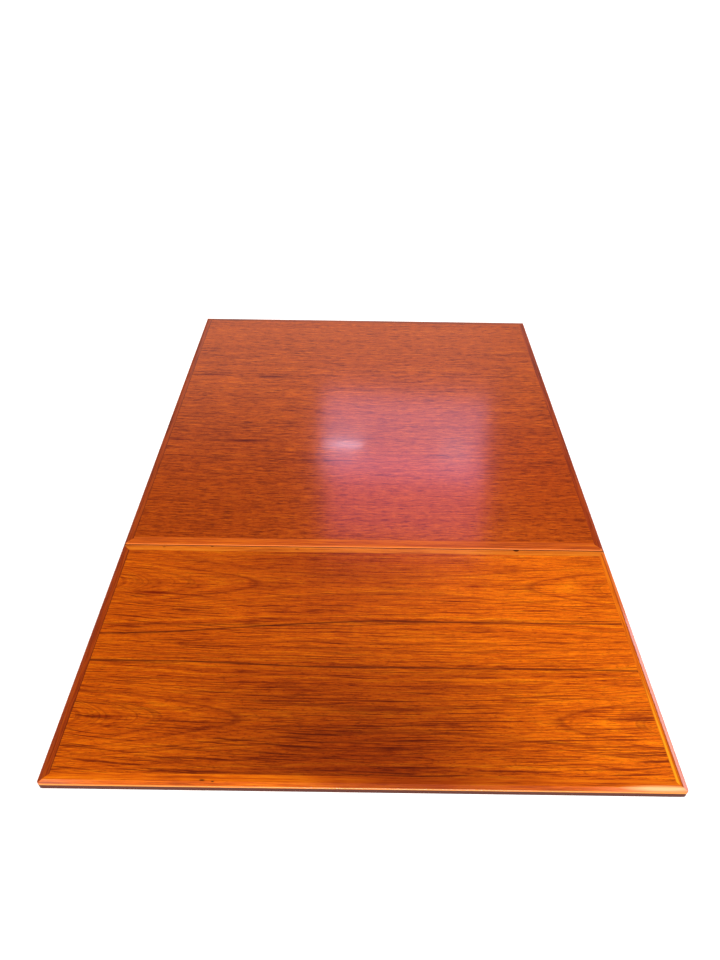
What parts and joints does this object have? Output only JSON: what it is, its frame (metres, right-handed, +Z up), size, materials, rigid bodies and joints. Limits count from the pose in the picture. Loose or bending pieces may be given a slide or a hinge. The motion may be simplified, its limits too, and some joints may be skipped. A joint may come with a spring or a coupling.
{
  "type": "drop leaf table",
  "caption": "Square veneered dining table on tapered legs, with a leaf hinged along one edge that swings down on brass flap hinges and linked, clamped stays.",
  "frame": {"origin": "on the floor, under the middle of the open table's plan box", "axes": "+Z up, X along the seam between top and leaf, the leaf on the -Y side and the fixed top on the +Y side"},
  "size_m": [0.85, 1.283, 0.73],
  "materials": {
    "teak_top_veneer": "lacquered teak veneer, satin-gloss",
    "teak_leaf_veneer": "lacquered teak veneer, satin-gloss",
    "teak_under_veneer": "teak veneer, thinly oiled",
    "teak_lipping": "solid teak, lacquered",
    "core_board": "particle board, raw",
    "teak_frame": "solid teak, lacquered satin",
    "beech": "raw beech",
    "zinc_steel": "zinc plated steel",
    "glide_plastic": "moulded nylon",
    "brass_hinge": "rolled brass, lightly tarnished",
    "brass_stay": "flat brass strip, brushed",
    "fibre_washer": "vulcanised fibre",
    "knurled_brass": "turned and fluted brass"
  },
  "bodies": {
    "frame": {"main_core": "core_board", "main_veneer_top": "teak_top_veneer", "main_veneer_under": "teak_under_veneer", "main_lipping_left": "teak_lipping", "main_lipping_right": "teak_lipping", "main_lipping_far": "teak_lipping", "main_lipping_seam": "teak_lipping", "apron_near": "teak_frame", "apron_far": "teak_frame", "apron_left": "teak_frame", "apron_right": "teak_frame", "leg_near_left": "teak_frame", "leg_near_right": "teak_frame", "leg_far_left": "teak_frame", "leg_far_right": "teak_frame", "corner_block_near_left": "beech", "corner_block_near_right": "beech", "corner_block_far_left": "beech", "corner_block_far_right": "beech", "leg_bolts": "zinc_steel", "leg_bolt_washers": "zinc_steel", "leg_bolt_nuts": "zinc_steel", "corner_block_screws": "zinc_steel", "foot_glides": "glide_plastic", "foot_glide_nails": "zinc_steel", "top_buttons": "beech", "top_button_screws": "zinc_steel", "hinge_left_top_flap": "brass_hinge", "hinge_right_top_flap": "brass_hinge", "hinge_left_pin": "brass_hinge", "hinge_right_pin": "brass_hinge", "hinge_top_screws": "brass_hinge", "stay_left_bracket": "brass_stay", "stay_right_bracket": "brass_stay", "stay_left_pivot_pin": "brass_stay", "stay_right_pivot_pin": "brass_stay", "stay_bracket_screws": "brass_stay"},
    "leaf": {"leaf_core": "core_board", "leaf_veneer_top": "teak_leaf_veneer", "leaf_veneer_under": "teak_under_veneer", "leaf_lipping_left": "teak_lipping", "leaf_lipping_right": "teak_lipping", "leaf_lipping_outer": "teak_lipping", "leaf_lipping_seam": "teak_lipping", "hinge_left_leaf_flap": "brass_hinge", "hinge_right_leaf_flap": "brass_hinge", "hinge_leaf_screws": "brass_hinge", "stay_left_slide_plate": "brass_stay", "stay_right_slide_plate": "brass_stay", "slide_plate_screws": "brass_stay"},
    "stay_left": {"stay_left_arm": "brass_stay", "stay_left_stud": "brass_stay", "stay_left_spacer": "fibre_washer"},
    "stay_right": {"stay_right_arm": "brass_stay", "stay_right_stud": "brass_stay", "stay_right_spacer": "fibre_washer"},
    "knob_left": {"stay_left_clamp_knob": "knurled_brass"},
    "knob_right": {"stay_right_clamp_knob": "knurled_brass"}
  },
  "joints": [
    {"name": "leaf_hinge", "type": "hinge", "parent": "frame", "child": "leaf", "pos_m": [0, -0.2085, 0.71], "axis": [1, 0, 0], "range_deg": [0, 90]},
    {"name": "stay_left_pivot", "type": "hinge", "parent": "frame", "child": "stay_left", "pos_m": [-0.3263, -0.1895, 0.64], "axis": [1, 0, 0], "range_deg": [0, 109.48]},
    {"name": "stay_right_pivot", "type": "hinge", "parent": "frame", "child": "stay_right", "pos_m": [0.3263, -0.1895, 0.64], "axis": [1, 0, 0], "range_deg": [0, 109.48]},
    {"name": "knob_left_turn", "type": "hinge", "parent": "stay_left", "child": "knob_left", "pos_m": [-0.3114, -0.33092, 0.69], "axis": [1, 0, 0], "range_deg": [0, 360]},
    {"name": "knob_right_turn", "type": "hinge", "parent": "stay_right", "child": "knob_right", "pos_m": [0.3114, -0.33092, 0.69], "axis": [1, 0, 0], "range_deg": [0, 360]}
  ],
  "couplings": [
    {"joint": "stay_left_pivot", "follows": "leaf_hinge", "ratio": 1.2163},
    {"joint": "stay_right_pivot", "follows": "leaf_hinge", "ratio": 1.2163}
  ]
}
